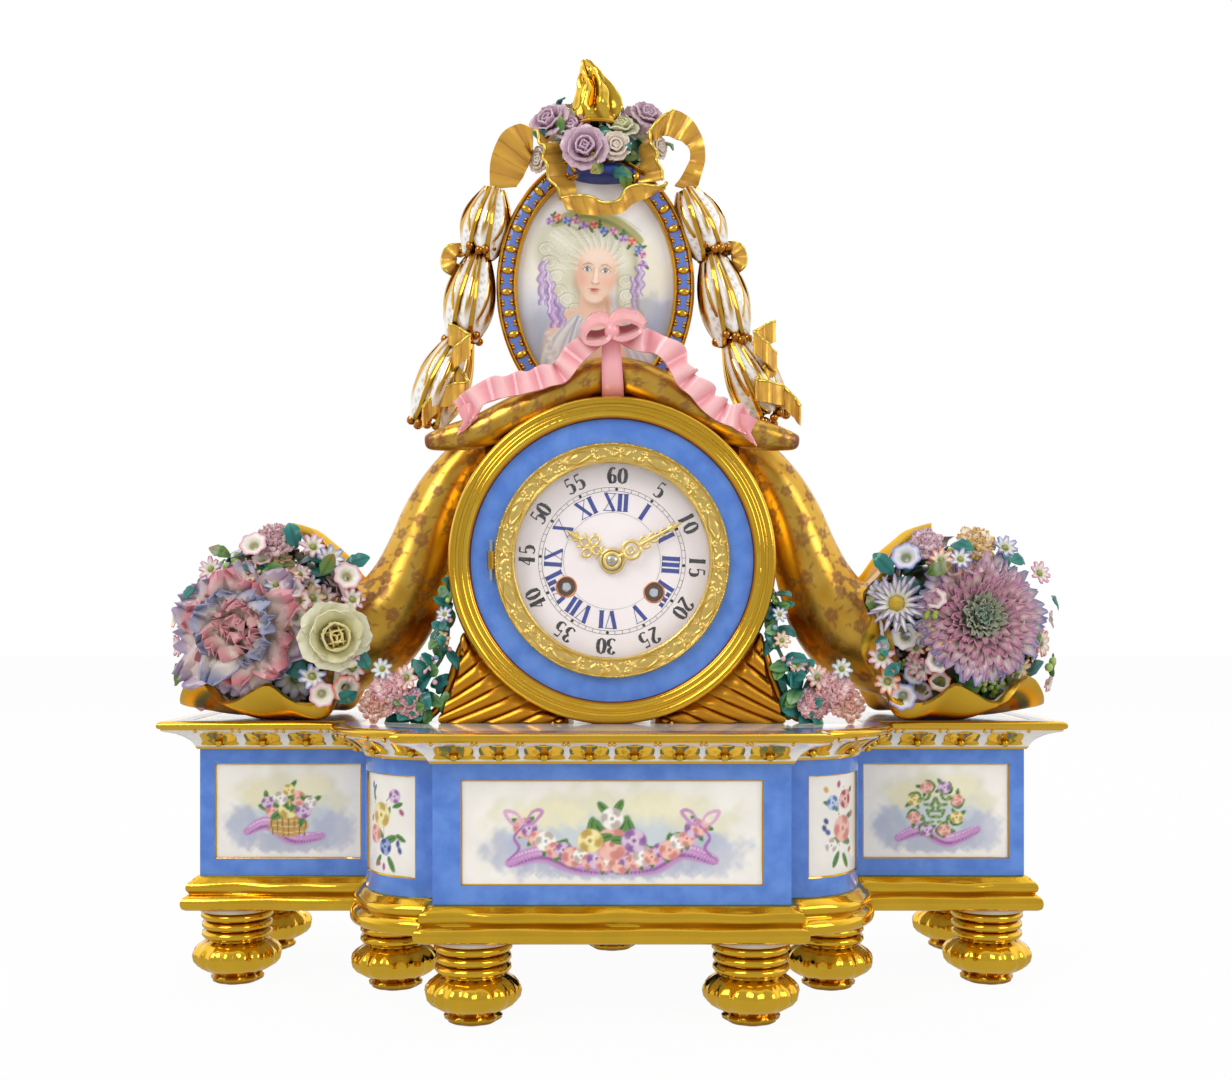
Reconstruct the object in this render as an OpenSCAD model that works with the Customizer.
// Porcelain mantel clock with a drum movement.
// Millimetres, +Z up, the front faces -Y, and the origin lies under the middle on the floor.

/* [Plinth] */
// Width of the blue plinth body across its wings
body_w = 394; // [380:1:410]
// Distance from the middle to the plinth's rear face
body_back = 86; // [84:1:96]
// Distance from the middle to the front face of the wings
wing_front = 16; // [10:1:20]
// Width of the projecting front block
block_w = 154; // [148:1:160]
// Distance from the middle to the front face of the front block
block_front = 86; // [80:1:92]
// Radius of the rounded corners beside the front block
corner_r = 37; // [34:1:39]
// Forward place of the rounded corners' axes
corner_front = 34; // [31:1:37]
// Wall of the hollow plinth
plinth_wall = 6; // [5:0.5:8]
// Height of the feet
foot_h = 37.3; // [32:0.1:44]
// Widest radius of a foot
foot_r = 20.8; // [18:0.1:22]
// Height of the gilt base moulding
base_h = 16.2; // [12:0.1:20]
// Overhang of the base moulding
base_reach = 7.5; // [5:0.1:9]
// Height of the blue body between the mouldings
body_h = 60.5; // [56:0.5:70]
// Height of the cornice
cornice_h = 14; // [12:0.5:18]
// Overhang of the cornice
cornice_reach = 16; // [10:0.5:18]

/* [Drum case] */
// How far the gilt front rim stands out past the barrel
rim_over = 5; // [4:0.5:6]
// Outer radius of the drum's barrel
barrel_r = 70; // [69:0.5:71]
// Distance from the middle to the front of the gilt rim
rim_front = 46; // [45.5:0.5:48]
// Distance from the middle to the back of the drum
drum_back = 60; // [58:0.5:64]
// Wall of the drum
drum_wall = 6; // [5:0.5:7]
// Radius of the hole that takes the movement
face_hole_r = 53.6; // [53.5:0.1:54]
// Width of the gilt rim from the blue face ring outwards
rim_w = 9.8; // [9:0.1:10.5]

/* [Dial and bezel] */
// Radius of the dial that shows inside the bezel
dial_seen_r = 44.5; // [43.5:0.1:45]
// Distance from the middle to the face of the dial
dial_front = 36; // [35.8:0.1:36.4]
// Turn of the movement in its case, clockwise in degrees
movement_turn = 3.7; // [0:0.1:5]
// Length of the hour hand from its centre to its tip
hour_hand_l = 25.8; // [24:0.1:28]
// Length of the minute hand from its centre to its tip
minute_hand_l = 36.6; // [34:0.1:39]
// Turn of the hour hand at rest, clockwise from upright in degrees
hour_hand_turn = 303.7; // [0:0.1:360]
// Turn of the minute hand at rest, clockwise from upright in degrees
minute_hand_turn = 61.1; // [0:0.1:360]

/* [Movement] */
// Radius of the two round movement plates
plate_r = 46; // [45.5:0.1:46.5]
// Thickness of a movement plate
plate_t = 2.5; // [2:0.1:3]
// Distance between the two plates
plates_gap = 33; // [32:0.1:34]
// Sideways place of a winding square from the centre
winding_x = 20.4; // [20:0.1:21]
// Place of the winding squares below the centre
winding_drop = 13.3; // [13:0.1:14]
// Radius of a spring barrel
barrel_drum_r = 16.8; // [15:0.1:17.2]
// Free length of the pendulum from its pivot to the middle of its bob
pendulum_l = 127; // [120:1:130]
// Radius of the pendulum bob
bob_r = 15; // [12:0.5:16]
// Radius of the bell
bell_r = 31; // [30:0.5:31]

/* [Top] */
// Half width of the oval medallion
medallion_rx = 47.7; // [44:0.1:50]
// Half height of the oval medallion
medallion_rz = 64; // [60:0.5:66]
// Sideways place of the medallion's middle
medallion_x = -8; // [-10:0.5:0]
// Height of the medallion's middle above the plinth top
medallion_up = 208; // [206:0.5:210]
// Thickness of the medallion
medallion_t = 12; // [10:0.5:14]
// Width of the medallion's studded border
medallion_border = 10; // [8:0.5:11]
// Height of the flame finial
flame_h = 31; // [26:0.5:36]
// Radius of the flame finial
flame_r = 11; // [9:0.5:12]

/* [Flowers and horns] */
// Sideways reach of a bouquet's outer edge from the middle
bouquet_reach = 212; // [205:1:213]
// Width of a bouquet
bouquet_w = 90; // [84:1:96]
// Height of a bouquet
bouquet_h = 88; // [80:1:94]
// Depth of a bouquet
bouquet_d = 76; // [66:1:80]
// Largest radius of a cornucopia at its mouth
horn_r = 27; // [24:0.5:28]

/* [Hidden] */

// Colours of the glazes and metals
BLUE = "#4F78C8";
GILT = "#D9A826";
MATT_GOLD = "#B5851F";
WHITE = "#F4F1EA";
PINK = "#F0A0A8";
LEAF = "#2E7F7A";
MAUVE = "#C9A3BC";
BRASS = "#C9A24A";
STEEL = "#8C9096";
ENAMEL = "#F4ECEC";

// Clearances
fit = 0.05; // running fit of a shaft in its bore, on the radius
seat = 0.3; // gap between pieces that lie close on curved faces
over = 1; // overrun of a cut past a face
slab = 0.02; // overlap that joins two faces into one solid
round_fn = 96;
blend_fn = 32;

// Heights
base_z = foot_h;
body_z = base_z + base_h;
cornice_z = body_z + body_h;
deck_z = cornice_z + cornice_h;
drum_r = barrel_r + rim_over;
face_r = drum_r - rim_w;
drum_z = deck_z + drum_r;

// Plinth details
corner_x = block_w / 2; // axes of the rounded corners
corner_steps = 10;
ring_lip = 2; // how far the cornice reaches in over the body's wall
deck_t = 6;
reserve_sunk = 1.6;
reserve_low = 8; // strip of blue below the painted reserves
reserve_h = 45.5;
block_reserve_w = 130;
wing_reserve_w = 70;
wing_reserve_x = 155;
corner_reserve_turn = 15; // blue strip beside a corner reserve, in degrees
floor_up = 1; // from the moulding's underside to the plinth floor
floor_t = 5;
floor_bed = 1; // how far the floor is let into the moulding
floor_hole_w = 120;
floor_hole_d = 90;
bolt_x = 34;
bolt_r = 2.5;
nut_r = 5;
nut_h = 4;
washer_r = 7;
washer_t = 1.2;
bolt_head_h = 2.5;

// Plinth mouldings, each pair a share of the reach and of the height
base_profile_shares = [[0.1, 0], [0.72, 0.03], [0.95, 0.14], [1, 0.26], [0.86, 0.42],
    [0.52, 0.5], [0.64, 0.62], [0.6, 0.8], [0.4, 0.92], [0.1, 1]];
cornice_profile_shares = [[0.06, 0], [0.12, 0.14], [0.25, 0.34], [0.48, 0.52], [0.82, 0.66],
    [0.92, 0.68], [0.92, 0.74], [1, 0.78], [1, 0.95], [0.97, 1]];

// Feet, each pair a share of the foot's radius and height
foot_profile_shares = [[0, 0], [0.5, 0], [0.6, 0.03], [0.62, 0.07], [0.54, 0.11], [0.66, 0.13],
    [0.86, 0.2], [0.97, 0.29], [1, 0.36], [0.97, 0.43], [0.86, 0.5], [0.7, 0.55], [0.7, 0.57],
    [0.8, 0.59], [0.83, 0.63], [0.8, 0.67], [0.7, 0.69], [0.8, 0.71], [0.83, 0.75],
    [0.8, 0.79], [0.71, 0.81], [0.81, 0.83], [0.85, 0.87], [0.82, 0.91], [0.74, 0.93],
    [0.88, 0.94], [0.88, 1], [0, 1]];
front_foot_x = 61;
front_foot_in = 15; // from the front block's face to its feet
corner_foot_x = 104;
corner_foot_front = 12;
wing_foot_in = 14; // from the end of a wing to its feet
wing_foot_front = 1;
rear_foot_in = 17; // from the rear face to the rear feet

// Drum case
rim_t = 16;
web_front = 40;
web_t = 6;
face_t = 3;
rear_hole_r = 56;
rear_web_t = 6;
rim_bead_r = 5;
rim_step_r = 2.2;
slot_w = 62;
slot_d = 18;
pendulum_y = 17;

// Mount ring, bezel and glass
ring_r = face_hole_r - seat;
ring_front = 42;
sleeve_wall = 3.4;
plate_front = 27.5; // from the middle to the front face of the front plate
ring_flange_t = 2;
ring_flange_in = 40;
bezel_front = 47;
bezel_back = 42.3;
bezel_r = 53.4;
glass_t = 1.6;
glass_rebate = 2.2;
glass_front = 45;
pin_r = 0.8;
knuckle_r = 1.7;
hinge_out = 55.4; // from the drum's axis to the bezel's hinge pin
hinge_front = 45.2;
knuckle_l = 5;
fixed_knuckle_l = 8;
knuckle_gap = 0.3;

// Dial and hands
dial_r = 46.3;
dial_t = 1.5;
dial_hole_r = 3.9;
winding_hole_r = 4.6;
dial_foot_r = 1;
dial_foot_at = 36;
hand_t = 0.7;
hour_hand_front = 38.2;
minute_hand_front = 40.3;
hand_boss_r = 5;
hand_collar_r = 3.2;
hour_pipe_r = 3.1;
cannon_r = 2;
arbor_r = 0.74;
centre_arbor_r = 0.95;

// Wheel train: teeth, and the module of each pair
great_teeth = 84;
great_module = 0.45;
great_pinion = 12;
second_teeth = 80;
second_module = 0.3;
second_pinion = 8;
centre_teeth = 84;
centre_module = 0.29;
third_pinion = 7;
third_teeth = 84;
third_module = 0.27;
escape_pinion = 7;
escape_teeth = 35;
escape_r = 8.6;
motion_module = 0.5;
cannon_teeth = 12;
minute_teeth = 36;
hour_module = 0.48;
minute_pinion = 10;
hour_teeth = 40;
strike_teeth = 78;
strike_module = 0.48;
strike_pinion = 12;
pin_teeth = 60;
pin_module = 0.3;
fly_pinion = 7;
wheel_t = 1.4;
pinion_t = 3;

// Tooth form as shares of the module and of the pitch
wheel_tip_share = 0.65;
wheel_root_share = 0.95;
pinion_tip_share = 0.5;
pinion_root_share = 1;
wheel_foot_share = 0.2;
wheel_crest_share = 0.07;
pinion_foot_share = 0.16;
pinion_crest_share = 0.07;

// Planes of the wheels, as places along Y of each wheel's rear face
great_y = -21;
strike_great_y = -21;
second_y = 4;
centre_y = 7;
third_y = -3;
escape_y = 0;
strike_pin_y = 3;
barrel_back_y = 1;
motion_y = -29;
hour_y = -31.2;

// Arbor places in the movement's own plane, [right, up], from the centre of the dial
going_at = [winding_x, -winding_drop];
strike_at = [-winding_x, -winding_drop];
second_at = meet([0, 0], pitch_gap(second_teeth, second_pinion, second_module),
    going_at, pitch_gap(great_teeth, great_pinion, great_module));
third_turn = 110;
third_at = reach([0, 0], pitch_gap(centre_teeth, third_pinion, centre_module), third_turn);
escape_gap = pitch_gap(third_teeth, escape_pinion, third_module);
escape_at = [0, third_at.y + sqrt(pow(escape_gap, 2) - pow(third_at.x, 2))];
pallet_clear = 3.4;
pallet_at = [0, escape_at.y + escape_r + pallet_clear];
minute_at = [0, pitch_gap(cannon_teeth, minute_teeth, motion_module)];
pin_turn = 110;
pin_wheel_at = reach(strike_at, pitch_gap(strike_teeth, strike_pinion, strike_module), pin_turn);
fly_turn = 60;
fly_at = reach(pin_wheel_at, pitch_gap(pin_teeth, fly_pinion, pin_module), fly_turn);
hammer_x = 40;
hammer_up = 8;
hammer_at = [-hammer_x, hammer_up];
swing_x = 5.4;
swing_drop = 17;
hammer_swing = [swing_x, -swing_drop];
pillar_x = 27;
pillar_up = 32.2;
pillar_at = [pillar_x, pillar_up];
low_pillar_x = 12;
low_pillar_drop = 40;
low_pillar_at = [low_pillar_x, -low_pillar_drop];

// Movement details
plate_back = -plate_front + plate_t; // rear face of the front plate along Y
rear_plate_y = plate_back + plates_gap;
rear_plate_back = rear_plate_y + plate_t;
pillar_r = 2.5;
winding_arbor_r = 2.5;
square_w = 3.2;
ratchet_r = 5.5;
barrel_wall = 1;
spring_t = 0.6;
spring_turns = 6;
spring_step = 1.8;
hub_r = 4.2;
play = 0.2; // end play between an arbor's shoulder and its plate
pin_count = 10;
pin_ring_r = 6.5;
lift_pin_r = 0.5;
lift_pin_l = 2.4;
fly_w = 9;
fly_l = 12;
fly_t = 0.4;
count_r = 9.5;
count_t = 1;
bell_y = 22;
bell_h = 16;
bell_t = 1.6;
hammer_head_r = 2.4;
hammer_head_l = 17;
rod_r = 1;
bob_t = 8;
strap_at = 50;
strap_w = 8;
strap_t = 2;
strap_end = 50;
strap_boss_r = 3.4;
strap_screw_r = 1.5;
rear_ring_r = 60;
rear_ring_t = 3;
door_t = 1.6;

// Helper functions
function lerp(a, b, t) = a + (b - a) * t;
function unit(v) = v / norm(v);
function pitch_gap(n, k, m) = (n + k) * m / 2;
function reach(from, d, turn) = [from.x + d * cos(turn), from.y + d * sin(turn)];
function heading(from, to) = atan2(to.y - from.y, to.x - from.x);
function in_world(p) = [p.x * cos(movement_turn) + p.y * sin(movement_turn),
    p.y * cos(movement_turn) - p.x * sin(movement_turn)];
// Point at distance ra from a and rb from b, on the left of the way from a to b
function meet(a, ra, b, rb) =
    let (d = norm(b - a), u = (b - a) / d, s = (ra * ra - rb * rb + d * d) / (2 * d),
         h = sqrt(ra * ra - s * s))
    a + s * u + h * [-u.y, u.x];
// Smooth curve through a list of points of any dimension, t from 0 to its last index
function curve_at(p, t) =
    let (n = len(p) - 1, i = min(floor(t), n - 1), f = t - i,
         a = p[max(i - 1, 0)], b = p[i], c = p[i + 1], d = p[min(i + 2, n)])
    0.5 * ((2 * b) + (c - a) * f + (2 * a - 5 * b + 4 * c - d) * f * f
        + (3 * b - a - 3 * c + d) * f * f * f);
function curve(p, steps) = [for (i = [0:steps]) curve_at(p, i * (len(p) - 1) / steps)];
function xyz(q) = [q[0], q[1], q[2]];
function heading_at(path, i) =
    unit(xyz(path[min(i + 1, len(path) - 1)]) - xyz(path[max(i - 1, 0)]));

// Closed skin over rings of points, each ring counterclockwise when seen from the far end
module skin(rings) {
    n = len(rings[0]);
    m = len(rings);
    walls = [for (i = [0:m - 2], j = [0:n - 1]) let (k = (j + 1) % n)
        each [[i * n + j, (i + 1) * n + k, i * n + k],
              [i * n + j, (i + 1) * n + j, (i + 1) * n + k]]];
    ends = [[for (j = [0:n - 1]) j], [for (j = [n - 1:-1:0]) (m - 1) * n + j]];
    polyhedron([for (r = rings) each r], concat(walls, ends));
}

// Tube along a path of [x, y, z, radius across, radius in depth]
module tube(path, sides) {
    skin([for (i = [0:len(path) - 1])
        let (t = heading_at(path, i), side = unit(cross(t, [0, 1, 0])), up = cross(t, side))
        [for (j = [0:sides - 1]) let (a = (j + 0.5) * 360 / sides)
            xyz(path[i]) + side * cos(a) * path[i][3] + up * sin(a) * path[i][4]]]);
}

// Pieces along Y: drawn in front view, and extruded towards the front from y_at
module facing(y_at) {
    translate([0, y_at, 0]) rotate([90, 0, 0]) children();
}
module on_drum(y_at) {
    translate([0, 0, drum_z]) facing(y_at) children();
}
module in_movement(y_at, at = [0, 0]) {
    on_drum(y_at) rotate([0, 0, -movement_turn]) translate(at) children();
}
module round_bar(r, h) {
    cylinder(r = r, h = h, $fn = round_fn);
}
module ring(r, hole, h) {
    difference() {
        round_bar(r, h);
        translate([0, 0, -over]) round_bar(hole, h + 2 * over);
    }
}
module both_sides() {
    children();
    mirror([1, 0, 0]) children();
}

// Plan of the plinth, grown outwards by g
module plan_piece(i, g) {
    wing_w = body_w + 2 * g;
    mid_w = 2 * (corner_x + corner_r + g);
    nose = corner_front + corner_r + g;
    front_w = block_w + 2 * g;
    if (i == 0) translate([-wing_w / 2, -wing_front - g]) square([wing_w, body_back + wing_front + 2 * g]);
    if (i == 1) translate([-mid_w / 2, -corner_front]) square([mid_w, corner_front]);
    if (i == 2) translate([corner_x, -corner_front]) circle(r = corner_r + g, $fn = blend_fn * 2);
    if (i == 3) translate([-corner_x, -corner_front]) circle(r = corner_r + g, $fn = blend_fn * 2);
    if (i == 4) translate([-corner_x, -nose]) square([2 * corner_x, nose]);
    if (i == 5) translate([-front_w / 2, -block_front - g]) square([front_w, block_front + g]);
}
module plan(g) {
    for (i = [0:5]) plan_piece(i, g);
}
// Corners of the same plan on its right side, from the rear to the front
function plan_side(g) =
    let (r = corner_r + g, turn = acos(g / r))
    concat([[body_w / 2 + g, body_back + g], [body_w / 2 + g, -wing_front - g], [corner_x + r,
        -wing_front - g]],
        [for (i = [0:corner_steps]) [corner_x + r * cos(turn * i / corner_steps),
            -corner_front - r * sin(turn * i / corner_steps)]],
        [[corner_x + g, -block_front - g]]);
function plan_outline(g) =
    let (side = plan_side(g), n = len(side) - 1)
    concat([for (p = side) [-p.x, p.y]], [for (i = [n:-1:0]) side[i]]);
function plan_ring(g, z) = [for (p = plan_outline(g)) [p.x, p.y, z]];
// Moulding round the plinth, open in the middle to inner inside the plan
module moulding(shares, reach_out, h, inner) {
    rings = concat([for (s = shares) plan_ring(s[0] * reach_out, s[1] * h)],
        [plan_ring(-inner, h), plan_ring(-inner, 0)]);
    n = len(rings[0]);
    m = len(rings);
    polyhedron([for (r = rings) each r], [for (i = [0:m - 1], j = [0:n - 1])
        let (k = (j + 1) % n, up = (i + 1) % m)
        each [[i * n + j, up * n + k, i * n + k], [i * n + j, up * n + j, up * n + k]]]);
}

// Feet
module foot(x, y) {
    translate([x, y, 0]) rotate_extrude($fn = round_fn)
        polygon([for (p = foot_profile_shares) [p[0] * foot_r, p[1] * foot_h]]);
}
module front_feet() color(GILT) both_sides() {
    foot(front_foot_x, -block_front + front_foot_in);
    foot(corner_foot_x, -corner_foot_front);
}
module wing_feet() color(GILT) {
    both_sides() {
        foot(body_w / 2 - wing_foot_in, -wing_foot_front);
        foot(body_w / 2 - wing_foot_in, body_back - rear_foot_in);
    }
    foot(0, body_back - rear_foot_in);
}

// Plinth
module base_moulding() color(GILT) {
    translate([0, 0, base_z]) moulding(base_profile_shares, base_reach, base_h, plinth_wall);
    difference() {
        translate([0, 0, base_z + floor_up]) linear_extrude(floor_t)
            polygon(plan_outline(-plinth_wall + floor_bed));
        translate([-floor_hole_w / 2, -floor_hole_d / 2, base_z]) cube([floor_hole_w, floor_hole_d, base_h]);
    }
}
module plinth_body() color(BLUE) difference() {
    translate([0, 0, body_z]) linear_extrude(body_h) plan(0);
    translate([0, 0, body_z - over]) linear_extrude(body_h + 2 * over) plan(-plinth_wall);
    reserve_cuts();
}
module reserve_cuts() {
    z = body_z + reserve_low;
    translate([-block_reserve_w / 2, -block_front - over, z])
        cube([block_reserve_w, reserve_sunk + over, reserve_h]);
    both_sides() {
        translate([wing_reserve_x - wing_reserve_w / 2, -wing_front - over, z])
            cube([wing_reserve_w, reserve_sunk + over, reserve_h]);
        translate([corner_x, -corner_front, z]) rotate([0, 0, corner_reserve_turn - 90])
            rotate_extrude(angle = 90 - 2 * corner_reserve_turn, $fn = round_fn)
            translate([corner_r - reserve_sunk, 0]) square([reserve_sunk + over, reserve_h]);
    }
}
module cornice() color(WHITE)
    translate([0, 0, cornice_z]) moulding(cornice_profile_shares, cornice_reach, cornice_h, ring_lip);
module deck() color(WHITE) difference() {
    translate([0, 0, cornice_z]) linear_extrude(cornice_h) polygon(plan_outline(-ring_lip));
    translate([0, 0, cornice_z - over]) linear_extrude(cornice_h - deck_t + over)
        plan(-plinth_wall - ring_lip);
    pendulum_slot(cornice_z, cornice_h);
    both_sides() translate([bolt_x, 0, cornice_z]) round_bar(bolt_r + fit, cornice_h + over);
}
module pendulum_slot(z, h) {
    translate([-slot_w / 2, pendulum_y - slot_d / 2, z - over]) cube([slot_w, slot_d, h + 2 * over]);
}
module case_bolts() color(BRASS) both_sides() translate([bolt_x, 0, 0]) {
    top = drum_z - sqrt(pow(barrel_r - drum_wall, 2) - pow(bolt_x + nut_r, 2));
    low = deck_z - deck_t - washer_t;
    translate([0, 0, low - 2 * nut_h]) round_bar(bolt_r, top - low + 2 * nut_h);
    translate([0, 0, low]) round_bar(washer_r, washer_t);
    translate([0, 0, low - nut_h]) cylinder(r = nut_r, h = nut_h, $fn = 6);
    translate([0, 0, top]) round_bar(nut_r, bolt_head_h);
}

// Scroll supports under the drum
scroll_in = 20;
scroll_out = 79;
scroll_h = 40;
scroll_front = 40;
scroll_back = 44;
scroll_dip = 14;
scroll_lean_share = 0.75; // how far the top leans in, of the dip
scroll_steps = 8;
module scroll_supports() color(MATT_GOLD) both_sides() difference() {
    facing(scroll_back) linear_extrude(scroll_back + scroll_front)
        polygon(concat([[scroll_in, deck_z], [scroll_out, deck_z]],
            [for (i = [0:scroll_steps]) let (t = i / scroll_steps)
                [scroll_out - scroll_dip * sin(t * 180) - scroll_lean_share * scroll_dip * t,
                 deck_z + scroll_h * t]],
            [[scroll_in, deck_z + scroll_h]]));
    on_drum(scroll_back + over) round_bar(barrel_r + seat, scroll_back + scroll_front + 2 * over);
    on_drum(rim_t - rim_front + seat) round_bar(drum_r + seat, rim_front);
    translate([bolt_x, 0, deck_z - over]) round_bar(bolt_r + fit, scroll_h);
}

// Drum case
module drum_shell() color(GILT) difference() {
    union() {
        on_drum(drum_back) round_bar(barrel_r, drum_back + web_front);
        on_drum(rim_t - rim_front) ring(drum_r, face_r, rim_t - rim_bead_r);
        on_drum(rim_bead_r - rim_front) rotate_extrude($fn = round_fn) {
            translate([drum_r - rim_bead_r, 0]) circle(r = rim_bead_r, $fn = blend_fn);
            translate([face_r, 0]) square([drum_r - face_r - rim_bead_r, rim_bead_r - rim_step_r]);
            translate([face_r + rim_step_r, rim_bead_r - rim_step_r]) circle(r = rim_step_r, $fn = blend_fn);
        }
    }
    on_drum(drum_back - rear_web_t) round_bar(barrel_r - drum_wall,
        drum_back - rear_web_t + web_front - web_t);
    on_drum(drum_back + over) round_bar(rear_hole_r, rear_web_t + 2 * over);
    on_drum(0) round_bar(face_hole_r, rim_front + over);
    pendulum_slot(drum_z - drum_r, drum_r);
    both_sides() translate([bolt_x, 0, deck_z]) round_bar(bolt_r + fit, drum_r);
}
module drum_face() color(BLUE) on_drum(-web_front) ring(face_r - seat, face_hole_r, face_t);

// Cornucopias, as shares of the horn's own width, height and mouth radius
horn_w = 66;
horn_h = 100;
horn_tip_x = 61;
horn_base_up = 33;
horn_y = 4;
horn_path_shares = [[1, 0, 1], [0.86, 0.05, 0.9], [0.69, 0.146, 0.8], [0.47, 0.35, 0.67],
    [0.32, 0.585, 0.57], [0.17, 0.84, 0.44], [0, 1, 0.3]];
horn_steps = 20;
horn_sides = 24;
module horn() difference() {
    tube([for (q = curve([for (s = horn_path_shares) [horn_tip_x + s[0] * horn_w, horn_y,
            deck_z + horn_base_up + s[1] * horn_h, s[2] * horn_r, s[2] * horn_r]], horn_steps)) q],
        horn_sides);
    on_drum(drum_back) round_bar(barrel_r + seat, drum_back + rim_front);
    on_drum(rim_t - rim_front + seat) round_bar(drum_r + seat, rim_front);
    translate([0, -horn_r * 2, deck_z - horn_r]) cube([bouquet_reach, horn_r * 4, horn_r + seat]);
}
module cornucopia_right() color(MATT_GOLD) horn();
module cornucopia_left() color(MATT_GOLD) mirror([1, 0, 0]) horn();

// Tails of the horns over the drum, as shares of their reach and rise
tail_reach = 83;
tail_rise = 31;
tail_r = 10;
tail_y = -27;
tail_depth_share = 1.1;
tail_drop = 18;
tail_up = 2 * drum_r - tail_drop; // from the deck to the tips
tail_path_shares = [[1.02, 0, 0.42], [0.82, 0.1, 0.72], [0.58, 0.36, 0.86], [0.3, 0.7, 1], [0.02, 0.92, 1.1]];
tail_steps = 14;
tail_sides = 16;
module horn_tails() color(MATT_GOLD) both_sides() difference() {
    tube(curve([for (s = tail_path_shares) [s[0] * tail_reach, tail_y, deck_z + tail_up + s[1] * tail_rise,
        s[2] * tail_r, s[2] * tail_r * tail_depth_share]], tail_steps), tail_sides);
    on_drum(drum_back) round_bar(barrel_r + seat, drum_back + rim_front);
    on_drum(rim_t - rim_front + seat) round_bar(drum_r + seat, rim_front);
    translate([-tail_reach, -tail_reach, deck_z]) cube([tail_reach, 2 * tail_reach, horn_h * 2]);
}

// Pink ribbon on the tails, as shares of the tails' own reach and rise
pink_t = 3;
pink_half = 7.2;
pink_wave = 0.6;
pink_up = 11;
pink_front = 9;
pink_path_shares = [[0.92, 0.02], [0.82, 0.16], [0.6, 0.5], [0.42, 0.78], [0.26, 0.98], [0.06, 1.24]];
pink_steps = 15;
bow_up_share = 1.27;
bow_r = 5;
bow_x = 6;
bow_t = 9;
band_w = 10;
band_t = 2;
band_h = 25;
band_y = tail_y - tail_r * tail_depth_share * tail_path_shares[len(tail_path_shares) - 1][2] - seat;
module pink_ribbon() color(PINK) difference() {
    union() {
        both_sides() tube([for (i = [0:pink_steps])
            let (q = curve_at([for (s = pink_path_shares) [s[0] * tail_reach, s[1] * tail_rise]],
                i * (len(pink_path_shares) - 1) / pink_steps), w = pink_wave * cos(i * 90))
            [q.x, tail_y - pink_front, deck_z + tail_up + pink_up + q.y + w, pink_half, pink_t]], 4);
        both_sides() translate([bow_x, tail_y - pink_front,
            deck_z + tail_up + pink_up + tail_rise * bow_up_share])
            hull() {
                facing(bow_t / 2) round_bar(bow_r, bow_t);
                translate([-bow_x, 0, -bow_r]) facing(bow_t / 2) round_bar(bow_r / 2, bow_t);
            }
        translate([-band_w / 2, band_y - band_t, deck_z + tail_up + tail_rise - band_h / 2])
            cube([band_w, band_t, band_h]);
    }
    on_drum(rim_t - rim_front + seat) round_bar(drum_r + seat, rim_front);
    horn_tails();
}

// Bouquets in the horns' mouths: places and sizes as shares of the bouquet's own width,
// depth and height, [across from the middle, forward, up from the deck, radius of the height]
bouquet_y = 4;
bouquet_shares = [[0, 0.05, 0.44, 0.4], [0.22, 0.3, 0.4, 0.27], [-0.12, 0.34, 0.52, 0.27],
    [-0.3, 0.26, 0.3, 0.2], [0.05, 0.36, 0.2, 0.19], [0.32, 0.18, 0.2, 0.18], [-0.26, 0.1, 0.7, 0.22],
    [0.08, 0.12, 0.78, 0.2], [0.3, 0, 0.62, 0.22], [-0.3, -0.2, 0.4, 0.22], [0.2, -0.26, 0.4, 0.24],
    [0.02, -0.26, 0.62, 0.22], [0.36, -0.1, 0.36, 0.14], [-0.12, -0.1, 0.2, 0.22], [0.14, -0.14, 0.18, 0.2]];
flower_fn = 10;
core_share = 0.55;
blob_small_share = 0.9;
blob_shift_share = 0.125;
module blob(p, r) {
    hull() {
        translate(p) sphere(r = r, $fn = flower_fn);
        translate(p + [r, -r, r] * blob_shift_share) sphere(r = r * blob_small_share, $fn = flower_fn);
    }
}
// Cluster of flowers on a core: places, each [across, forward, up, radius], as shares of size
module cluster(shares, size) {
    for (s = shares) blob([s[0] * size.x, -s[1] * size.y, s[2] * size.z], s[3] * size.z);
    hull() for (s = shares) translate([s[0] * size.x, -s[1] * size.y, s[2] * size.z])
        sphere(r = core_share * s[3] * size.z, $fn = flower_fn);
}
module bouquet() difference() {
    translate([bouquet_reach - bouquet_w / 2, bouquet_y, deck_z])
        cluster(bouquet_shares, [bouquet_w, bouquet_d, bouquet_h]);
    horn();
    translate([0, -bouquet_d, deck_z - bouquet_h]) cube([2 * bouquet_reach, 2 * bouquet_d, bouquet_h]);
    translate([bouquet_reach, -bouquet_d, deck_z - over]) cube([bouquet_w, 2 * bouquet_d, 2 * bouquet_h]);
}
module bouquet_right() color(MAUVE) bouquet();
module bouquet_left() color(PINK) mirror([1, 0, 0]) bouquet();

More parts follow.
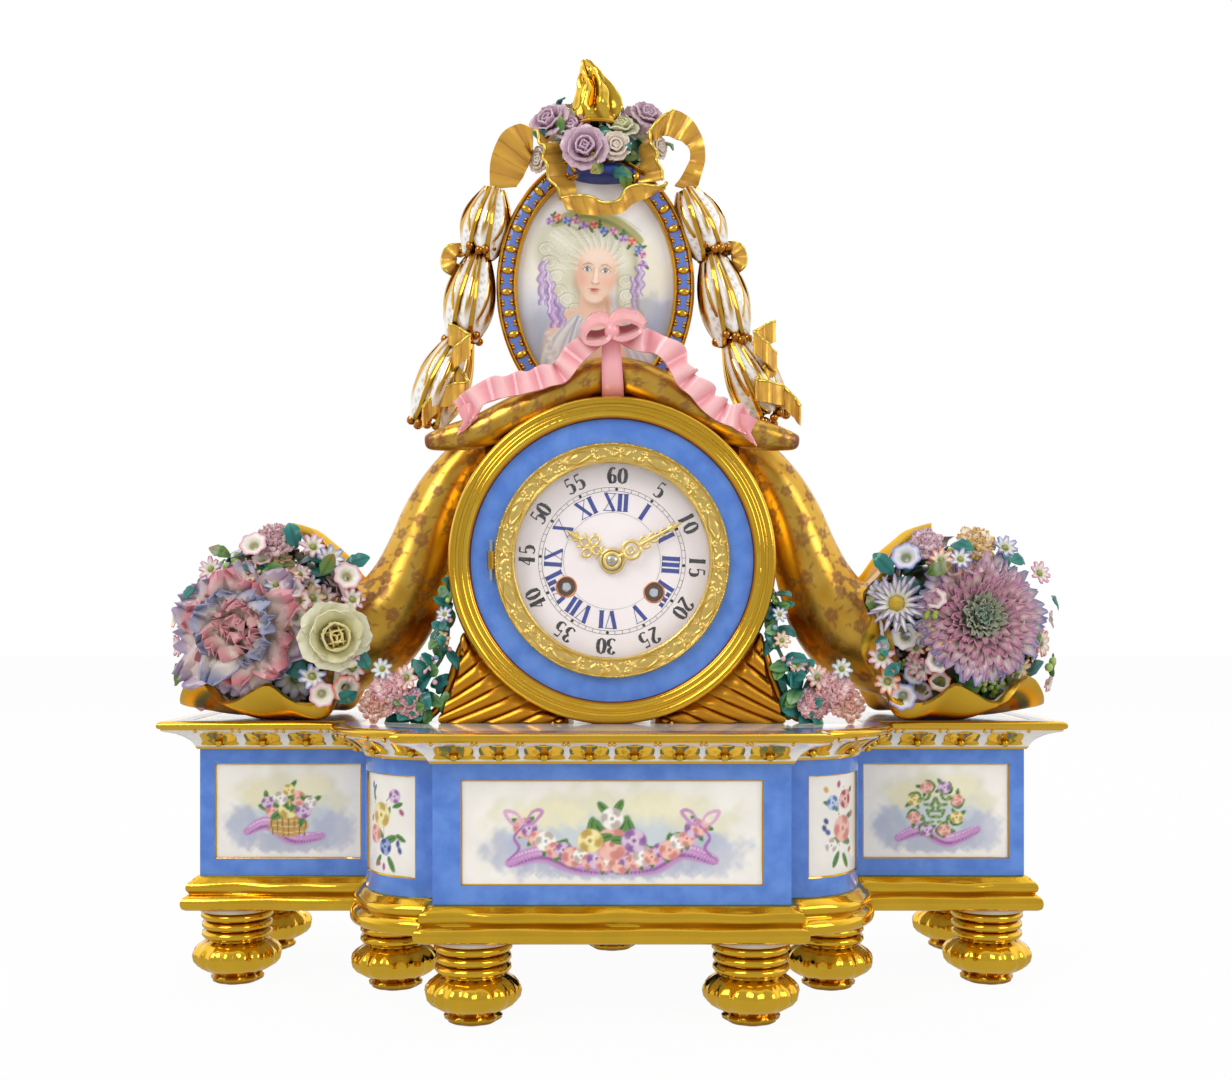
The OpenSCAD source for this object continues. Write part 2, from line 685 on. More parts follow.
// Foliage sprays beside the drum: places as shares of the spray's width, depth and height
spray_x = 76;
spray_w = 24;
spray_y = -34;
spray_d = 16;
spray_h = 64;
spray_shares = [[0.8, 0.1, 0.12, 0.13], [0.5, 0.2, 0.16, 0.14], [0.9, -0.2, 0.2, 0.1], [0.36, 0, 0.36, 0.13],
    [0.66, 0.1, 0.3, 0.11], [0.2, 0.1, 0.54, 0.11], [0.16, 0, 0.7, 0.1], [0.08, 0.1, 0.84, 0.08],
    [0.02, 0.1, 0.94, 0.06], [0.7, -0.2, 0.1, 0.12]];
module spray() difference() {
    for (s = spray_shares)
        blob([spray_x + s[0] * spray_w, spray_y - s[1] * spray_d, deck_z + s[2] * spray_h], s[3] * spray_h);
    translate([0, -spray_h, deck_z - spray_h]) cube([2 * spray_x, 2 * spray_h, spray_h]);
    on_drum(drum_back) round_bar(barrel_r + seat, drum_back + rim_front);
    on_drum(rim_t - rim_front + seat) round_bar(drum_r + seat, rim_t + 2 * seat);
    translate([0, -scroll_front, deck_z - over])
        cube([scroll_out, scroll_front + scroll_back, scroll_h + over]);
    horn();
}
module foliage_right() color(LEAF) spray();
module foliage_left() color(LEAF) mirror([1, 0, 0]) spray();

// Medallion
medallion_z = deck_z + medallion_up;
plaque_t = 5;
plaque_sunk = 4;
oval_points = 72;
module oval(rx, rz, h) {
    linear_extrude(h) polygon([for (i = [0:oval_points - 1]) let (a = i * 360 / oval_points)
        [rx * cos(a), rz * sin(a)]]);
}
module on_medallion(y_at) {
    translate([medallion_x, 0, medallion_z]) facing(y_at) children();
}
module medallion_frame() color(BLUE) difference() {
    on_medallion(0) oval(medallion_rx, medallion_rz, medallion_t);
    on_medallion(plaque_sunk - medallion_t + plaque_t)
        oval(medallion_rx - medallion_border, medallion_rz - medallion_border, medallion_t);
    on_drum(drum_back) round_bar(barrel_r + seat, drum_back + rim_front);
}
module medallion_plaque() color(WHITE) difference() {
    on_medallion(plaque_sunk - medallion_t + plaque_t)
        oval(medallion_rx - medallion_border, medallion_rz - medallion_border, plaque_t);
    on_drum(drum_back) round_bar(barrel_r + seat, drum_back + rim_front);
}

// Swags: the chain's points as shares of the medallion's half width and half height
swag_y = -6;
husk_r = 10.5;
husk_grow = 1.6; // each husk is this much thicker than the one above
swag_shares = [[0.9, 0.74], [1.15, 0.26], [1.42, -0.383], [1.83, -0.99]];
swag_bead_r = 3.6;
bead_spread = 4;
function swag_point(i) = [swag_shares[i][0] * medallion_rx, swag_y, swag_shares[i][1] * medallion_rz];
// Places of a husk's swellings from its top to its tip, and their radii
husk_shares = [[0.1, 0.35], [0.36, 0.86], [0.62, 1], [0.92, 0.4]];
module husk(a, b, r) {
    hull() for (h = husk_shares) translate(lerp(a, b, h[0])) sphere(r = r * h[1], $fn = flower_fn);
}
module swag() {
    for (i = [0:2]) {
        husk(swag_point(i), swag_point(i + 1), husk_r + i * husk_grow);
        for (j = [-1:1]) hull() {
            translate(swag_point(i + 1) + [j * bead_spread, -abs(j), j / 2])
                sphere(r = swag_bead_r, $fn = flower_fn);
            translate(swag_point(i + 1)) sphere(r = swag_bead_r, $fn = flower_fn);
        }
    }
}
module medallion_solid() {
    on_medallion(0) oval(medallion_rx, medallion_rz, medallion_t);
}
module swag_right() color(WHITE) difference() {
    translate([medallion_x, 0, medallion_z]) swag();
    medallion_solid();
}
module swag_left() color(WHITE) difference() {
    translate([medallion_x, 0, medallion_z]) mirror([1, 0, 0]) swag();
    medallion_solid();
}

// Gilt ribbon loops on the swags, as shares of the medallion's half width and half height
loop_r = 7.5;
loop_wall = 1.6;
loop_d = 8;
loop_out = 10;
fall_shares = [[1.62, -0.3], [2.0, -0.45], [1.68, -0.62], [1.96, -0.8]];
fall_half = 4.2;
fall_front = 14;
fall_t = 5;
module swag_ribbons() color(MATT_GOLD) difference() {
    translate([medallion_x, 0, medallion_z]) both_sides() {
        translate(swag_point(1) + [loop_out, 0, 0]) facing(loop_d / 2)
            ring(loop_r, loop_r - loop_wall, loop_d);
        for (i = [0:len(fall_shares) - 2]) hull() for (j = [i, i + 1])
            translate([fall_shares[j][0] * medallion_rx, swag_y - fall_front + fall_t / 2,
                fall_shares[j][1] * medallion_rz])
            facing(0) round_bar(fall_half, fall_t);
    }
    swag_left();
    swag_right();
}

// Gilt ribbon across the top of the medallion, [across, up, forward] as shares of its half
// width, half height and thickness, and its width as a share of the widest
top_ribbon_shares = [[-1.09, 0.75, 0.5, 0.8], [-0.97, 1.09, 0.5, 1], [-0.75, 1.22, 0.6, 1], [-0.51,
    1.13, 0.9, 0.95],
    [-0.39, 0.87, 1.5, 0.8], [-0.26, 0.65, 1.9, 0.65], [0.05, 0.59, 2, 0.7], [0.45, 0.65, 1.9, 0.65],
    [0.66, 0.75, 1.7, 0.55], [0.61, 1.02, 1.2, 0.6], [0.74, 1.25, 0.8, 0.7], [0.89, 1.35, 0.6, 0.75],
    [1.06, 1.21, 0.5, 0.75], [1.09, 0.98, 0.5, 0.75], [0.96, 0.75, 0.5, 0.7]];
top_ribbon_half = 8.5;
top_ribbon_t = 3;
top_ribbon_steps = 56;
module top_ribbon() color(MATT_GOLD) difference() {
    translate([medallion_x, 0, medallion_z]) tube(curve([for (s = top_ribbon_shares)
        [s[0] * medallion_rx, -s[2] * medallion_t, s[1] * medallion_rz, s[3] * top_ribbon_half,
            top_ribbon_t]],
        top_ribbon_steps), 4);
    medallion_solid();
    swag_left();
    swag_right();
}

// Rose cluster and flame on top of the medallion, [across, forward, up, radius] as shares
crown_w = 34;
crown_up = 56;
crown_h = 26;
crown_d = 22;
crown_shares = [[-0.14, 0.8, 0.42, 0.4], [0.36, 0.76, 0.5, 0.36], [-0.7, 0.4, 0.8, 0.4],
    [0.66, 0.1, 0.84, 0.38], [-0.34, -0.6, 0.7, 0.4], [0.4, -0.6, 0.6, 0.4], [-0.66, 0.2, 0.42, 0.34],
    [0.74, 0.1, 0.46, 0.32], [0.1, 0.7, 0.1, 0.38], [-0.3, 0.6, 0.16, 0.34]];
module rose_crown() color(MAUVE) difference() {
    translate([medallion_x, -medallion_t / 2, medallion_z + crown_up])
        cluster(crown_shares, [crown_w, crown_d, crown_h]);
    medallion_solid();
    top_ribbon();
    translate([medallion_x - crown_w, -crown_w, flame_z]) cube([2 * crown_w, 2 * crown_w, crown_h]);
    translate([medallion_x, -medallion_t / 2, flame_z - flame_base_t]) round_bar(flame_r + seat, flame_h);
}
flame_z = medallion_z + crown_up + crown_h;
flame_base_t = 4;
flame_lobes = 5;
flame_lobe_share = 0.12;
flame_stem_share = 0.7;
flame_twist = 100;
flame_sides = 20;
flame_profile_shares = [[0.8, 0], [1, 0.1], [0.98, 0.25], [0.8, 0.42], [0.58, 0.56], [0.42, 0.68],
    [0.4, 0.78],
    [0.34, 0.88], [0.16, 0.97]];
flame_lean_shares = [0, 0, 0.05, 0.1, 0.04, -0.08, -0.16, -0.2, -0.3];
module flame_finial() color(GILT) translate([medallion_x, -medallion_t / 2, flame_z - flame_base_t]) {
    round_bar(flame_r * flame_stem_share, flame_base_t + slab);
    translate([0, 0, flame_base_t]) skin([for (i = [0:len(flame_profile_shares) - 1])
        let (s = flame_profile_shares[i])
        [for (j = [0:flame_sides - 1])
            let (a = j * 360 / flame_sides,
                 r = flame_r * s[0] * (1 + flame_lobe_share * cos(flame_lobes * a + flame_twist * s[1])))
            [r * cos(a) + flame_lean_shares[i] * flame_r, r * sin(a), s[1] * flame_h]]]);
}

// Mount ring, bezel, glass and hinge pins
module pin_at(x, y) {
    translate([x, y, drum_z]) children();
}
module upright(r, from, to) {
    translate([0, 0, from]) round_bar(r, to - from);
}
module mount_ring() color(BRASS) difference() {
    union() {
        on_drum(-web_front) ring(ring_r, sleeve_r - sleeve_wall, ring_front - web_front);
        on_drum(-plate_front) ring(sleeve_r, sleeve_r - sleeve_wall, web_front - plate_front);
        on_drum(-plate_front) ring(sleeve_r, ring_flange_in, ring_flange_t);
        pin_at(-hinge_out, -hinge_front) upright(knuckle_r, -fixed_knuckle_l / 2, fixed_knuckle_l / 2);
        translate([-hinge_out, arm_front, drum_z - fixed_knuckle_l / 2])
            cube([hinge_out - ring_r + arm_in, -web_front - face_t - seat - arm_front, fixed_knuckle_l]);
        translate([-ring_r + lip_step, arm_front, drum_z - fixed_knuckle_l / 2])
            cube([arm_in - lip_step, -ring_front - arm_front + slab, fixed_knuckle_l]);
    }
    pin_at(-hinge_out, -hinge_front) upright(pin_r + fit, -fixed_knuckle_l, fixed_knuckle_l);
}
ring_step = 2.3;
sleeve_r = face_hole_r - ring_step;
arm_front = -44.2;
knuckle_arm_share = 1.2;
arm_in = 2.8;
lip_step = 0.4;
module bezel() color(GILT) difference() {
    union() {
        on_drum(-bezel_back) ring(bezel_r, dial_seen_r, bezel_front - bezel_back);
        for (s = [-1, 1]) pin_at(-hinge_out, -hinge_front) {
            near = s * (fixed_knuckle_l / 2 + knuckle_gap);
            far = s * (fixed_knuckle_l / 2 + knuckle_gap + knuckle_l);
            upright(knuckle_r, min(near, far), max(near, far));
            translate([0, -knuckle_r / 2, min(near, far)])
                cube([hinge_out - bezel_r + arm_in, knuckle_r * knuckle_arm_share, knuckle_l]);
        }
    }
    on_drum(-bezel_back + over) round_bar(dial_seen_r + glass_rebate, glass_front - bezel_back + over);
    pin_at(-hinge_out, -hinge_front) upright(pin_r + fit, -hinge_out, hinge_out);
    translate([-bezel_r - over, arm_front - seat, drum_z - fixed_knuckle_l / 2 - knuckle_gap])
        cube([arm_in + lip_step + over + knuckle_r, bezel_front, fixed_knuckle_l + 2 * knuckle_gap]);
}
module bezel_glass() color("LightCyan", 0.4) on_drum(glass_t - glass_front)
    round_bar(dial_seen_r + glass_rebate - fit, glass_t);
module hinge_pins() color(STEEL) {
    pin_l = fixed_knuckle_l / 2 + knuckle_gap + knuckle_l;
    pin_at(-hinge_out, -hinge_front) upright(pin_r, -pin_l, pin_l);
    pin_at(door_hinge_x, door_hinge_back) upright(pin_r, -pin_l, pin_l);
}

// Dial and hands
module dial() color(ENAMEL) difference() {
    union() {
        in_movement(dial_t - dial_front) round_bar(dial_r, dial_t);
        for (i = [0:2]) in_movement(-plate_front, reach([0, 0], dial_foot_at, 60 + 120 * i))
            round_bar(dial_foot_r, dial_front - plate_front - dial_t / 2);
    }
    in_movement(0) round_bar(dial_hole_r, dial_front + over);
    for (p = [going_at, strike_at]) in_movement(0, p) round_bar(winding_hole_r, dial_front + over);
}
// Outline of a pierced hand, drawn upright: blade and leaf as shares of the hand's length
hour_hand_shares = [0.035, 0.11];
minute_hand_shares = [0.025, 0.075];
blade_neck_share = 0.9;
side_leaf_shares = [0.9, 0.5, 0.55]; // place across and up, and hole, of the leaf's radius
top_leaf_shares = [2.1, 0.9, 0.3, 0.4]; // place up, radius, place and radius of its holes
module hand_shape(l, shares) {
    leaf_r = l * shares[1];
    circle(r = hand_boss_r, $fn = round_fn);
    polygon([[-shares[0], 0] * l, [-shares[0] / 2, blade_neck_share] * l, [0, 1] * l,
        [shares[0] / 2, blade_neck_share] * l, [shares[0], 0] * l]);
    for (s = [-1, 1])
        translate([s * leaf_r * side_leaf_shares[0], hand_boss_r + leaf_r * side_leaf_shares[1]])
            difference() {
            circle(r = leaf_r, $fn = blend_fn);
            circle(r = leaf_r * side_leaf_shares[2], $fn = blend_fn);
        }
    translate([0, hand_boss_r + leaf_r * top_leaf_shares[0]]) difference() {
        circle(r = leaf_r * top_leaf_shares[1], $fn = blend_fn);
        for (s = [-1, 1]) translate([s * leaf_r * top_leaf_shares[2], 0])
            circle(r = leaf_r * top_leaf_shares[3], $fn = blend_fn);
    }
}
module hour_hand() color(GILT) on_drum(hand_t - hour_hand_front) rotate([0, 0, -hour_hand_turn])
    difference() {
    linear_extrude(hand_t) hand_shape(hour_hand_l, hour_hand_shares);
    translate([0, 0, -over]) round_bar(hour_pipe_r + fit / 2, hand_t + 2 * over);
}
module minute_hand() color(GILT) on_drum(hand_t - minute_hand_front) rotate([0, 0, -minute_hand_turn]) {
    difference() {
        linear_extrude(hand_t) hand_shape(minute_hand_l, minute_hand_shares);
        translate([0, 0, -over]) round_bar(cannon_r + fit / 2, hand_t + 2 * over);
    }
    translate([0, 0, hand_t + fit]) ring(hand_collar_r, centre_arbor_r + fit / 2, hand_t);
}

// Plates
module plate_bores(y_at) {
    for (p = [second_at, third_at, escape_at, pallet_at, pin_wheel_at, fly_at, hammer_at])
        in_movement(y_at + over, p) round_bar(arbor_r + fit, plate_t + 2 * over);
    for (p = [going_at, strike_at]) in_movement(y_at + over, p)
        round_bar(winding_arbor_r + fit, plate_t + 2 * over);
    in_movement(y_at + over) round_bar(centre_arbor_r + fit, plate_t + 2 * over);
}
module front_plate() color(BRASS) {
    difference() {
        in_movement(plate_back) round_bar(plate_r, plate_t);
        plate_bores(plate_back);
    }
    for (p = [pillar_at, [-pillar_at.x, pillar_at.y], low_pillar_at, [-low_pillar_at.x, low_pillar_at.y]])
        in_movement(rear_plate_y, p) round_bar(pillar_r, plates_gap);
    in_movement(-plate_front, minute_at) round_bar(arbor_r, post_l);
}
post_l = 5.6;
module back_plate() color(BRASS) difference() {
    in_movement(rear_plate_back) round_bar(plate_r, plate_t);
    plate_bores(rear_plate_back);
}

// Wheels
module toothed(n, m, thick, tips, roots, foot_w, crest_w, phase) {
    pitch = 360 / n;
    mid_r = n * m / 2;
    linear_extrude(thick) polygon([for (i = [0:n - 1]) let (a = phase + i * pitch) each
        [reach([0, 0], mid_r - roots * m, a - foot_w * pitch), reach([0, 0], mid_r + tips * m,
            a - crest_w * pitch),
         reach([0, 0], mid_r + tips * m, a + crest_w * pitch), reach([0, 0], mid_r - roots * m,
             a + foot_w * pitch)]]);
}
module wheel(n, m, phase = 0, thick = wheel_t) {
    toothed(n, m, thick, wheel_tip_share, wheel_root_share, wheel_foot_share, wheel_crest_share, phase);
}
module pinion(n, m, phase = 0, thick = pinion_t) {
    toothed(n, m, thick, pinion_tip_share, pinion_root_share, pinion_foot_share, pinion_crest_share, phase);
}
// Arbor between the plates' outer faces
module arbor(at, r) {
    in_movement(rear_plate_back, at) round_bar(r, rear_plate_back + plate_front);
}
// Pinion centred on the wheel that drives it, with a gap towards that wheel's axis
module leaf_pinion(at, n, m, wheel_y, driver) {
    in_movement(wheel_y + (pinion_t - wheel_t) / 2, at) pinion(n, m, heading(at, driver) + 180 / n);
}
module spring_barrel(at, teeth, m, driven) color(BRASS) {
    l = barrel_back_y - great_y;
    difference() {
        union() {
            in_movement(barrel_back_y, at) round_bar(barrel_drum_r, l);
            in_movement(great_y, at) wheel(teeth, m, heading(at, driven));
        }
        in_movement(barrel_back_y - barrel_wall, at)
            round_bar(barrel_drum_r - barrel_wall, l - 2 * barrel_wall);
        in_movement(barrel_back_y + over, at) round_bar(winding_arbor_r + fit, l + wheel_t + 2 * over);
    }
}
module going_barrel() spring_barrel(going_at, great_teeth, great_module, second_at);
module strike_barrel() spring_barrel(strike_at, strike_teeth, strike_module, pin_wheel_at);
// Mainspring: one flat strip wound from the arbor's core out to the barrel's wall
module mainspring(at) color(STEEL) {
    l = barrel_back_y - great_y - 2 * barrel_wall - 2 * play;
    per_turn = 24;
    steps = spring_turns * per_turn;
    step = (barrel_drum_r - barrel_wall - hub_r - 2 * seat - spring_t) / spring_turns;
    mid = [for (i = [0:steps]) hub_r + seat + spring_t / 2 + step * i / per_turn];
    in_movement(barrel_back_y - barrel_wall - play, at) linear_extrude(l) polygon(concat(
        [for (i = [0:steps]) reach([0, 0], mid[i] + spring_t / 2, i * 360 / per_turn)],
        [for (i = [steps:-1:0]) reach([0, 0], mid[i] - spring_t / 2, i * 360 / per_turn)]));
}
module going_mainspring() mainspring(going_at);
module strike_mainspring() mainspring(strike_at);
module winding_arbor(at) color(STEEL) {
    arbor(at, winding_arbor_r);
    in_movement(barrel_back_y - barrel_wall - play, at)
        round_bar(hub_r, barrel_back_y - great_y - 2 * barrel_wall - 2 * play);
    in_movement(-plate_front - play, at) round_bar(ratchet_r, ring_flange_t - play);
    in_movement(-plate_front, at) translate([-square_w / 2, -square_w / 2, 0])
        cube([square_w, square_w, square_l]);
}
square_l = 9.6;
module going_winding_arbor() winding_arbor(going_at);
module strike_winding_arbor() winding_arbor(strike_at);
module intermediate_wheel() color(BRASS) {
    arbor(second_at, arbor_r);
    leaf_pinion(second_at, great_pinion, great_module, great_y, going_at);
    in_movement(second_y, second_at) wheel(second_teeth, second_module, heading(second_at, [0, 0]));
}
module centre_wheel() color(BRASS) {
    in_movement(rear_plate_back) round_bar(centre_arbor_r, rear_plate_back + arbor_front);
    leaf_pinion([0, 0], second_pinion, second_module, second_y, second_at);
    in_movement(centre_y) wheel(centre_teeth, centre_module, heading([0, 0], third_at));
}
arbor_front = 42;
cannon_back = 28.7;
cannon_l = minute_hand_front - cannon_back;
module cannon_pinion() color(STEEL) difference() {
    union() {
        in_movement(-cannon_back) pinion(cannon_teeth, motion_module, heading([0, 0], minute_at),
            cannon_pinion_t);
        in_movement(-cannon_back) round_bar(cannon_r, cannon_l);
    }
    in_movement(0) round_bar(centre_arbor_r + fit / 2, arbor_front);
}
cannon_pinion_t = 2;
module minute_wheel() color(BRASS) difference() {
    union() {
        in_movement(motion_y, minute_at)
            wheel(minute_teeth, motion_module, heading(minute_at, [0, 0]) + 180 / minute_teeth);
        in_movement(motion_y - wheel_t, minute_at)
            pinion(minute_pinion, hour_module, heading(minute_at, [0, 0]), minute_pinion_t);
    }
    in_movement(0, minute_at) round_bar(arbor_r + fit, dial_front);
}
minute_pinion_t = 2.4;
module hour_wheel() color(BRASS) difference() {
    union() {
        in_movement(hour_y) wheel(hour_teeth, hour_module, heading([0, 0], minute_at) + 180 / hour_teeth);
        in_movement(hour_y) round_bar(hour_pipe_r, hour_hand_front + hour_y);
    }
    in_movement(0) round_bar(cannon_r + fit, arbor_front);
}
module third_wheel() color(BRASS) {
    arbor(third_at, arbor_r);
    leaf_pinion(third_at, third_pinion, centre_module, centre_y, [0, 0]);
    in_movement(third_y, third_at) wheel(third_teeth, third_module, heading(third_at, escape_at));
}
escape_tooth_h = 1.3;
escape_tip_share = 0.55;
escape_heel_share = 0.62;
module escape_wheel() color(BRASS) {
    arbor(escape_at, arbor_r);
    leaf_pinion(escape_at, escape_pinion, third_module, third_y, third_at);
    in_movement(escape_y, escape_at) linear_extrude(wheel_t) polygon([for (i = [0:escape_teeth - 1])
        let (a = i * 360 / escape_teeth, p = 360 / escape_teeth) each
        [reach([0, 0], escape_r - escape_tooth_h, a), reach([0, 0], escape_r, a + p * escape_tip_share),
         reach([0, 0], escape_r - escape_tooth_h, a + p * escape_heel_share)]]);
}

// Pallets with their crutch, and the pendulum
pivot = in_world(pallet_at);
pallet_gap = 0.9;
pallet_band = 1.5;
pallet_turn = 48;
crutch_l = 26;
crutch_w = 1.6;
crutch_t = 1.4;
crutch_gap = 1;
fork_w = 5;
fork_d = 7;
fork_h = 4;
stem_w = 2;
module pallets() color(STEEL) {
    in_movement(rear_plate_back + crutch_gap + crutch_t, pallet_at)
        round_bar(arbor_r, rear_plate_back + crutch_gap + crutch_t + plate_front);
    in_movement(escape_y, escape_at) linear_extrude(wheel_t) difference() {
        circle(r = escape_r + pallet_gap + pallet_band, $fn = round_fn);
        circle(r = escape_r + pallet_gap, $fn = round_fn);
        for (s = [0, 1]) mirror([s, 0]) rotate(-pallet_turn) translate([0, -2 * escape_r])
            square([2 * escape_r, 4 * escape_r]);
        translate([-2 * escape_r, -4 * escape_r]) square(4 * escape_r);
    }
    in_movement(escape_y, pallet_at) translate([-stem_w / 2, escape_r + pallet_gap + pallet_band / 2
        + escape_at.y - pallet_at.y, 0]) cube([stem_w, pallet_clear - pallet_gap - pallet_band / 2, wheel_t]);
    translate([pivot.x, rear_plate_back + crutch_gap, drum_z + pivot.y]) {
        translate([-crutch_w / 2, 0, -crutch_l]) cube([crutch_w, crutch_t, crutch_l]);
        translate([0, crutch_t, 0]) facing(0) round_bar(crutch_w, crutch_t);
        difference() {
            translate([-fork_w / 2, crutch_t, -crutch_l]) cube([fork_w, fork_d, fork_h]);
            translate([-rod_r - 2 * fit, crutch_t + fork_d / 3, -crutch_l - over])
                cube([2 * rod_r + 4 * fit, fork_d, fork_h + 2 * over]);
        }
    }
}
cock_w = 10;
cock_h = 5;
cock_up = 2.4;
cock_d = 10;
spring_strip_t = 0.3;
spring_strip_w = 5;
spring_strip_l = 8;
hook_w = 4;
module pendulum_cock() color(BRASS) translate([pivot.x, rear_plate_back, drum_z + pivot.y + cock_up])
    translate([-cock_w / 2, 0, 0]) cube([cock_w, cock_d, cock_h]);
module pendulum() color(BRASS) translate([pivot.x, pendulum_y, drum_z + pivot.y]) {
    translate([-spring_strip_t / 2, -spring_strip_w / 2, -spring_strip_l])
        cube([spring_strip_t, spring_strip_w, spring_strip_l + cock_up - 2 * fit]);
    translate([-hook_w / 2, -spring_strip_w / 2, -spring_strip_l - hook_w])
        cube([hook_w, spring_strip_w, hook_w]);
    translate([0, 0, bob_r - pendulum_l]) round_bar(rod_r, pendulum_l - bob_r - spring_strip_l);
    translate([0, 0, -pendulum_l - bob_r - nut_drop]) round_bar(rod_r, nut_drop);
    translate([0, 0, -pendulum_l]) facing(bob_t / 2) rotate_extrude($fn = round_fn)
        polygon([for (s = bob_profile_shares) [s[0] * bob_r, s[1] * bob_t]]);
    for (z = [bob_r - rod_bed - slab, -bob_r - slab]) translate([-rod_r, -rod_r, z - pendulum_l])
        cube([2 * rod_r, 2 * rod_r, rod_bed + 2 * slab]);
    translate([0, 0, -pendulum_l - bob_r - nut_drop / 2]) round_bar(rating_nut_r, nut_drop / 2);
}
nut_drop = 5;
rating_nut_r = 3;
bob_profile_shares = [[0, 0], [0.5, 0.06], [0.8, 0.2], [0.94, 0.36], [1, 0.5], [0.94, 0.64], [0.8, 0.8],
    [0.5, 0.94], [0, 1]];
rod_bed = 0.6; // flats on the bob's rim where the rod enters it

// Strike side
module pin_wheel() color(BRASS) {
    in_movement(count_back, pin_wheel_at) round_bar(arbor_r, count_back + plate_front);
    leaf_pinion(pin_wheel_at, strike_pinion, strike_module, strike_great_y, strike_at);
    in_movement(strike_pin_y, pin_wheel_at) wheel(pin_teeth, pin_module, heading(pin_wheel_at, fly_at));
    for (i = [0:pin_count - 1])
        in_movement(strike_pin_y + lift_pin_l, pin_wheel_at + reach([0, 0], pin_ring_r, i * 360 / pin_count))
            round_bar(lift_pin_r, lift_pin_l + wheel_t / 2);
    in_movement(count_back, pin_wheel_at) difference() {
        round_bar(count_r, count_t);
        for (i = [0:count_notches - 1]) rotate(i * 360 / count_notches) translate([count_r, 0, -over])
            round_bar(count_t, count_t + 2 * over);
    }
}
count_back = 12.8;
count_notches = 12;
module fly() color(BRASS) {
    arbor(fly_at, arbor_r);
    leaf_pinion(fly_at, fly_pinion, pin_module, strike_pin_y, pin_wheel_at);
    in_movement(fly_back, fly_at) translate([-fly_w / 2, -fly_t / 2, 0]) cube([fly_w, fly_t, fly_l]);
}
fly_back = -2;
tail_l = 4.4;
tail_w = 1.4;
module hammer() color(STEEL) {
    back = rear_plate_back + crutch_gap + crutch_t;
    swing_l = norm(hammer_swing);
    in_movement(back, hammer_at) round_bar(arbor_r, back + plate_front);
    in_movement(back, hammer_at) rotate(atan2(hammer_swing.y, hammer_swing.x))
        translate([0, -tail_w / 2, 0]) cube([swing_l, tail_w, crutch_t]);
    in_movement(back - crutch_t + hammer_head_l, hammer_at + hammer_swing)
        round_bar(hammer_head_r, hammer_head_l);
    in_movement(strike_pin_y + lift_pin_l, hammer_at) rotate(heading(hammer_at, pin_wheel_at))
        translate([0, -tail_w / 2, 0]) cube([tail_l, tail_w, lift_pin_l - play]);
}
bell_profile_shares = [[0.07, 0], [0.3, 0.01], [0.6, 0.1], [0.8, 0.26], [0.92, 0.5], [0.97, 0.76], [1, 1]];
module bell() color(BRASS) in_movement(bell_y + bell_h) rotate_extrude($fn = round_fn)
    polygon(concat([for (s = bell_profile_shares) [s[0] * bell_r, s[1] * bell_h]],
        [for (i = [len(bell_profile_shares) - 1:-1:0]) let (s = bell_profile_shares[i])
            [s[0] * (bell_r - bell_t), bell_t + s[1] * (bell_h - bell_t)]]));
stand_x = 18;
stand_drop = 12;
stand_at = [stand_x, -stand_drop];
stand_r = 2;
stud_r = 1.9;
arm_y = 32;
arm_t = 2;
bell_nut_h = 2;
module bell_stand() color(STEEL) {
    in_movement(arm_y, stand_at) round_bar(stand_r, arm_y - rear_plate_back);
    in_movement(arm_y) rotate(atan2(stand_at.y, stand_at.x)) translate([0, -stand_r, 0])
        cube([norm(stand_at), 2 * stand_r, arm_t]);
    in_movement(bell_y + bell_h + bell_nut_h) round_bar(stud_r, bell_y + bell_h + bell_nut_h - arm_y + arm_t);
    in_movement(bell_y + bell_h - bell_t - fit) round_bar(2 * stud_r, bell_y + bell_h - bell_t - arm_y);
    in_movement(bell_y + bell_h + bell_nut_h + fit) round_bar(2 * stud_r, bell_nut_h);
}

// Straps and their screws, rear bezel and rear door
strap_turn = 35;
strap_boss_l = 8;
screw_head_r = 2.6;
screw_head_t = 1.4;
rear_face = drum_back + rear_ring_t;
door_hinge_back = rear_face + seat + knuckle_r;
module at_straps() {
    for (s = [0, 180]) rotate([0, 0, strap_turn + s]) translate([strap_at, 0, 0]) children();
}
module movement_straps() color(BRASS) {
    difference() {
        union() {
            in_movement(strap_end) at_straps() translate([-strap_t / 2, -strap_w / 2, 0])
                cube([strap_t, strap_w, strap_end + plate_front]);
            in_movement(strap_end) at_straps() round_bar(strap_boss_r, strap_boss_l);
        }
        in_movement(strap_end + over) at_straps() round_bar(strap_screw_r + fit, strap_boss_l + over);
    }
    in_movement(rear_face + screw_head_t) at_straps() {
        round_bar(strap_screw_r, rear_face + screw_head_t - strap_end + strap_boss_l - over);
        round_bar(screw_head_r, screw_head_t - fit);
    }
}
door_hinge_x = 49.6;
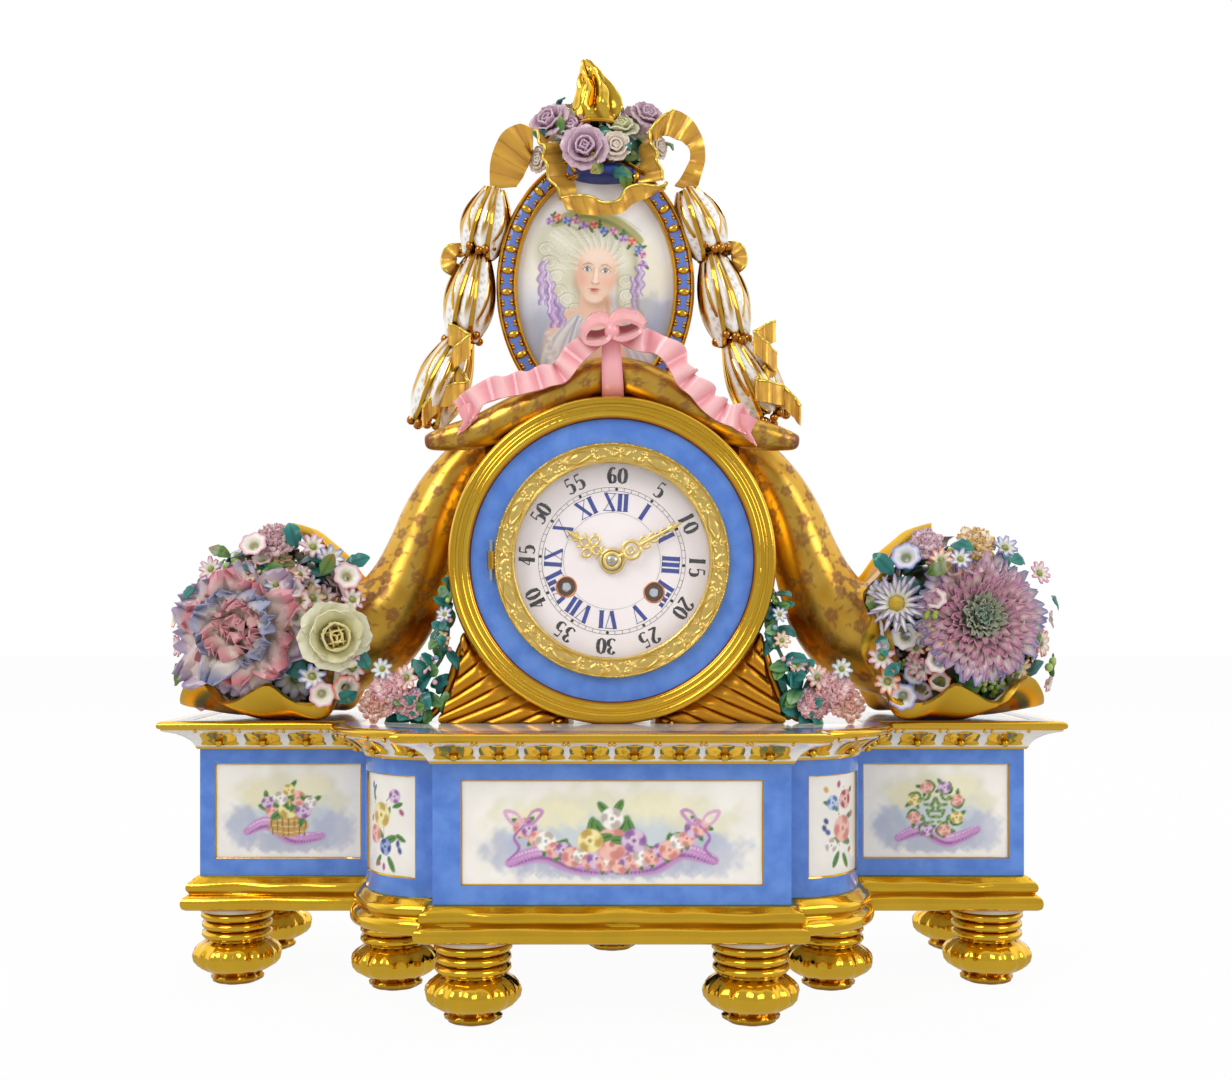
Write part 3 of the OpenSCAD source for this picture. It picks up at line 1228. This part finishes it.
module rear_bezel() color(GILT) difference() {
    union() {
        on_drum(rear_face) ring(rear_ring_r, rear_opening_r, rear_ring_t);
        on_drum(drum_back) ring(rear_hole_r - seat, rear_sleeve_in, rear_web_t / 2);
        pin_at(door_hinge_x, door_hinge_back) upright(knuckle_r, -fixed_knuckle_l / 2, fixed_knuckle_l / 2);
        translate([door_hinge_x - knuckle_r / 2, drum_back, drum_z - fixed_knuckle_l / 2])
            cube([knuckle_r, door_hinge_back - drum_back - pin_r, fixed_knuckle_l]);
    }
    in_movement(rear_face + over) at_straps() round_bar(strap_screw_r + fit, rear_ring_t + 2 * over);
    pin_at(door_hinge_x, door_hinge_back) upright(pin_r + fit, -fixed_knuckle_l, fixed_knuckle_l);
}
rear_opening_r = 43;
rear_sleeve_in = 54;
door_vents = 12;
vent_r = 4;
vent_at = 30;
module rear_door() color(GILT) difference() {
    union() {
        on_drum(rear_face + seat + door_t) round_bar(door_edge_r, door_t);
        on_drum(rear_face + seat + 2 * door_t) ring(door_edge_r, door_edge_r - 2 * door_t, door_t);
        for (s = [-1, 1]) pin_at(door_hinge_x, door_hinge_back) {
            near = s * (fixed_knuckle_l / 2 + knuckle_gap);
            far = s * (fixed_knuckle_l / 2 + knuckle_gap + knuckle_l);
            upright(knuckle_r, min(near, far), max(near, far));
            translate([door_edge_r - 2 * door_t - door_hinge_x, rear_face + seat - door_hinge_back,
                min(near, far)])
                cube([door_hinge_x - door_edge_r + 2 * door_t, door_t, knuckle_l]);
        }
    }
    pin_at(door_hinge_x, door_hinge_back) upright(pin_r + fit, -hinge_out, hinge_out);
    for (i = [0:door_vents - 1]) on_drum(drum_back) rotate([0, 0, i * 360 / door_vents])
        translate([vent_at, 0, -rear_face]) round_bar(vent_r, 2 * rear_face);
}
door_edge_r = 46;

front_feet();
wing_feet();
base_moulding();
plinth_body();
cornice();
deck();
scroll_supports();
drum_shell();
drum_face();
cornucopia_left();
cornucopia_right();
horn_tails();
pink_ribbon();
bouquet_left();
bouquet_right();
foliage_left();
foliage_right();
medallion_frame();
medallion_plaque();
swag_left();
swag_right();
swag_ribbons();
top_ribbon();
rose_crown();
flame_finial();
case_bolts();
mount_ring();
bezel();
bezel_glass();
hinge_pins();
dial();
hour_hand();
minute_hand();
front_plate();
back_plate();
going_barrel();
going_mainspring();
going_winding_arbor();
intermediate_wheel();
centre_wheel();
cannon_pinion();
minute_wheel();
hour_wheel();
third_wheel();
escape_wheel();
pallets();
pendulum_cock();
pendulum();
strike_barrel();
strike_mainspring();
strike_winding_arbor();
pin_wheel();
fly();
hammer();
bell();
bell_stand();
movement_straps();
rear_bezel();
rear_door();
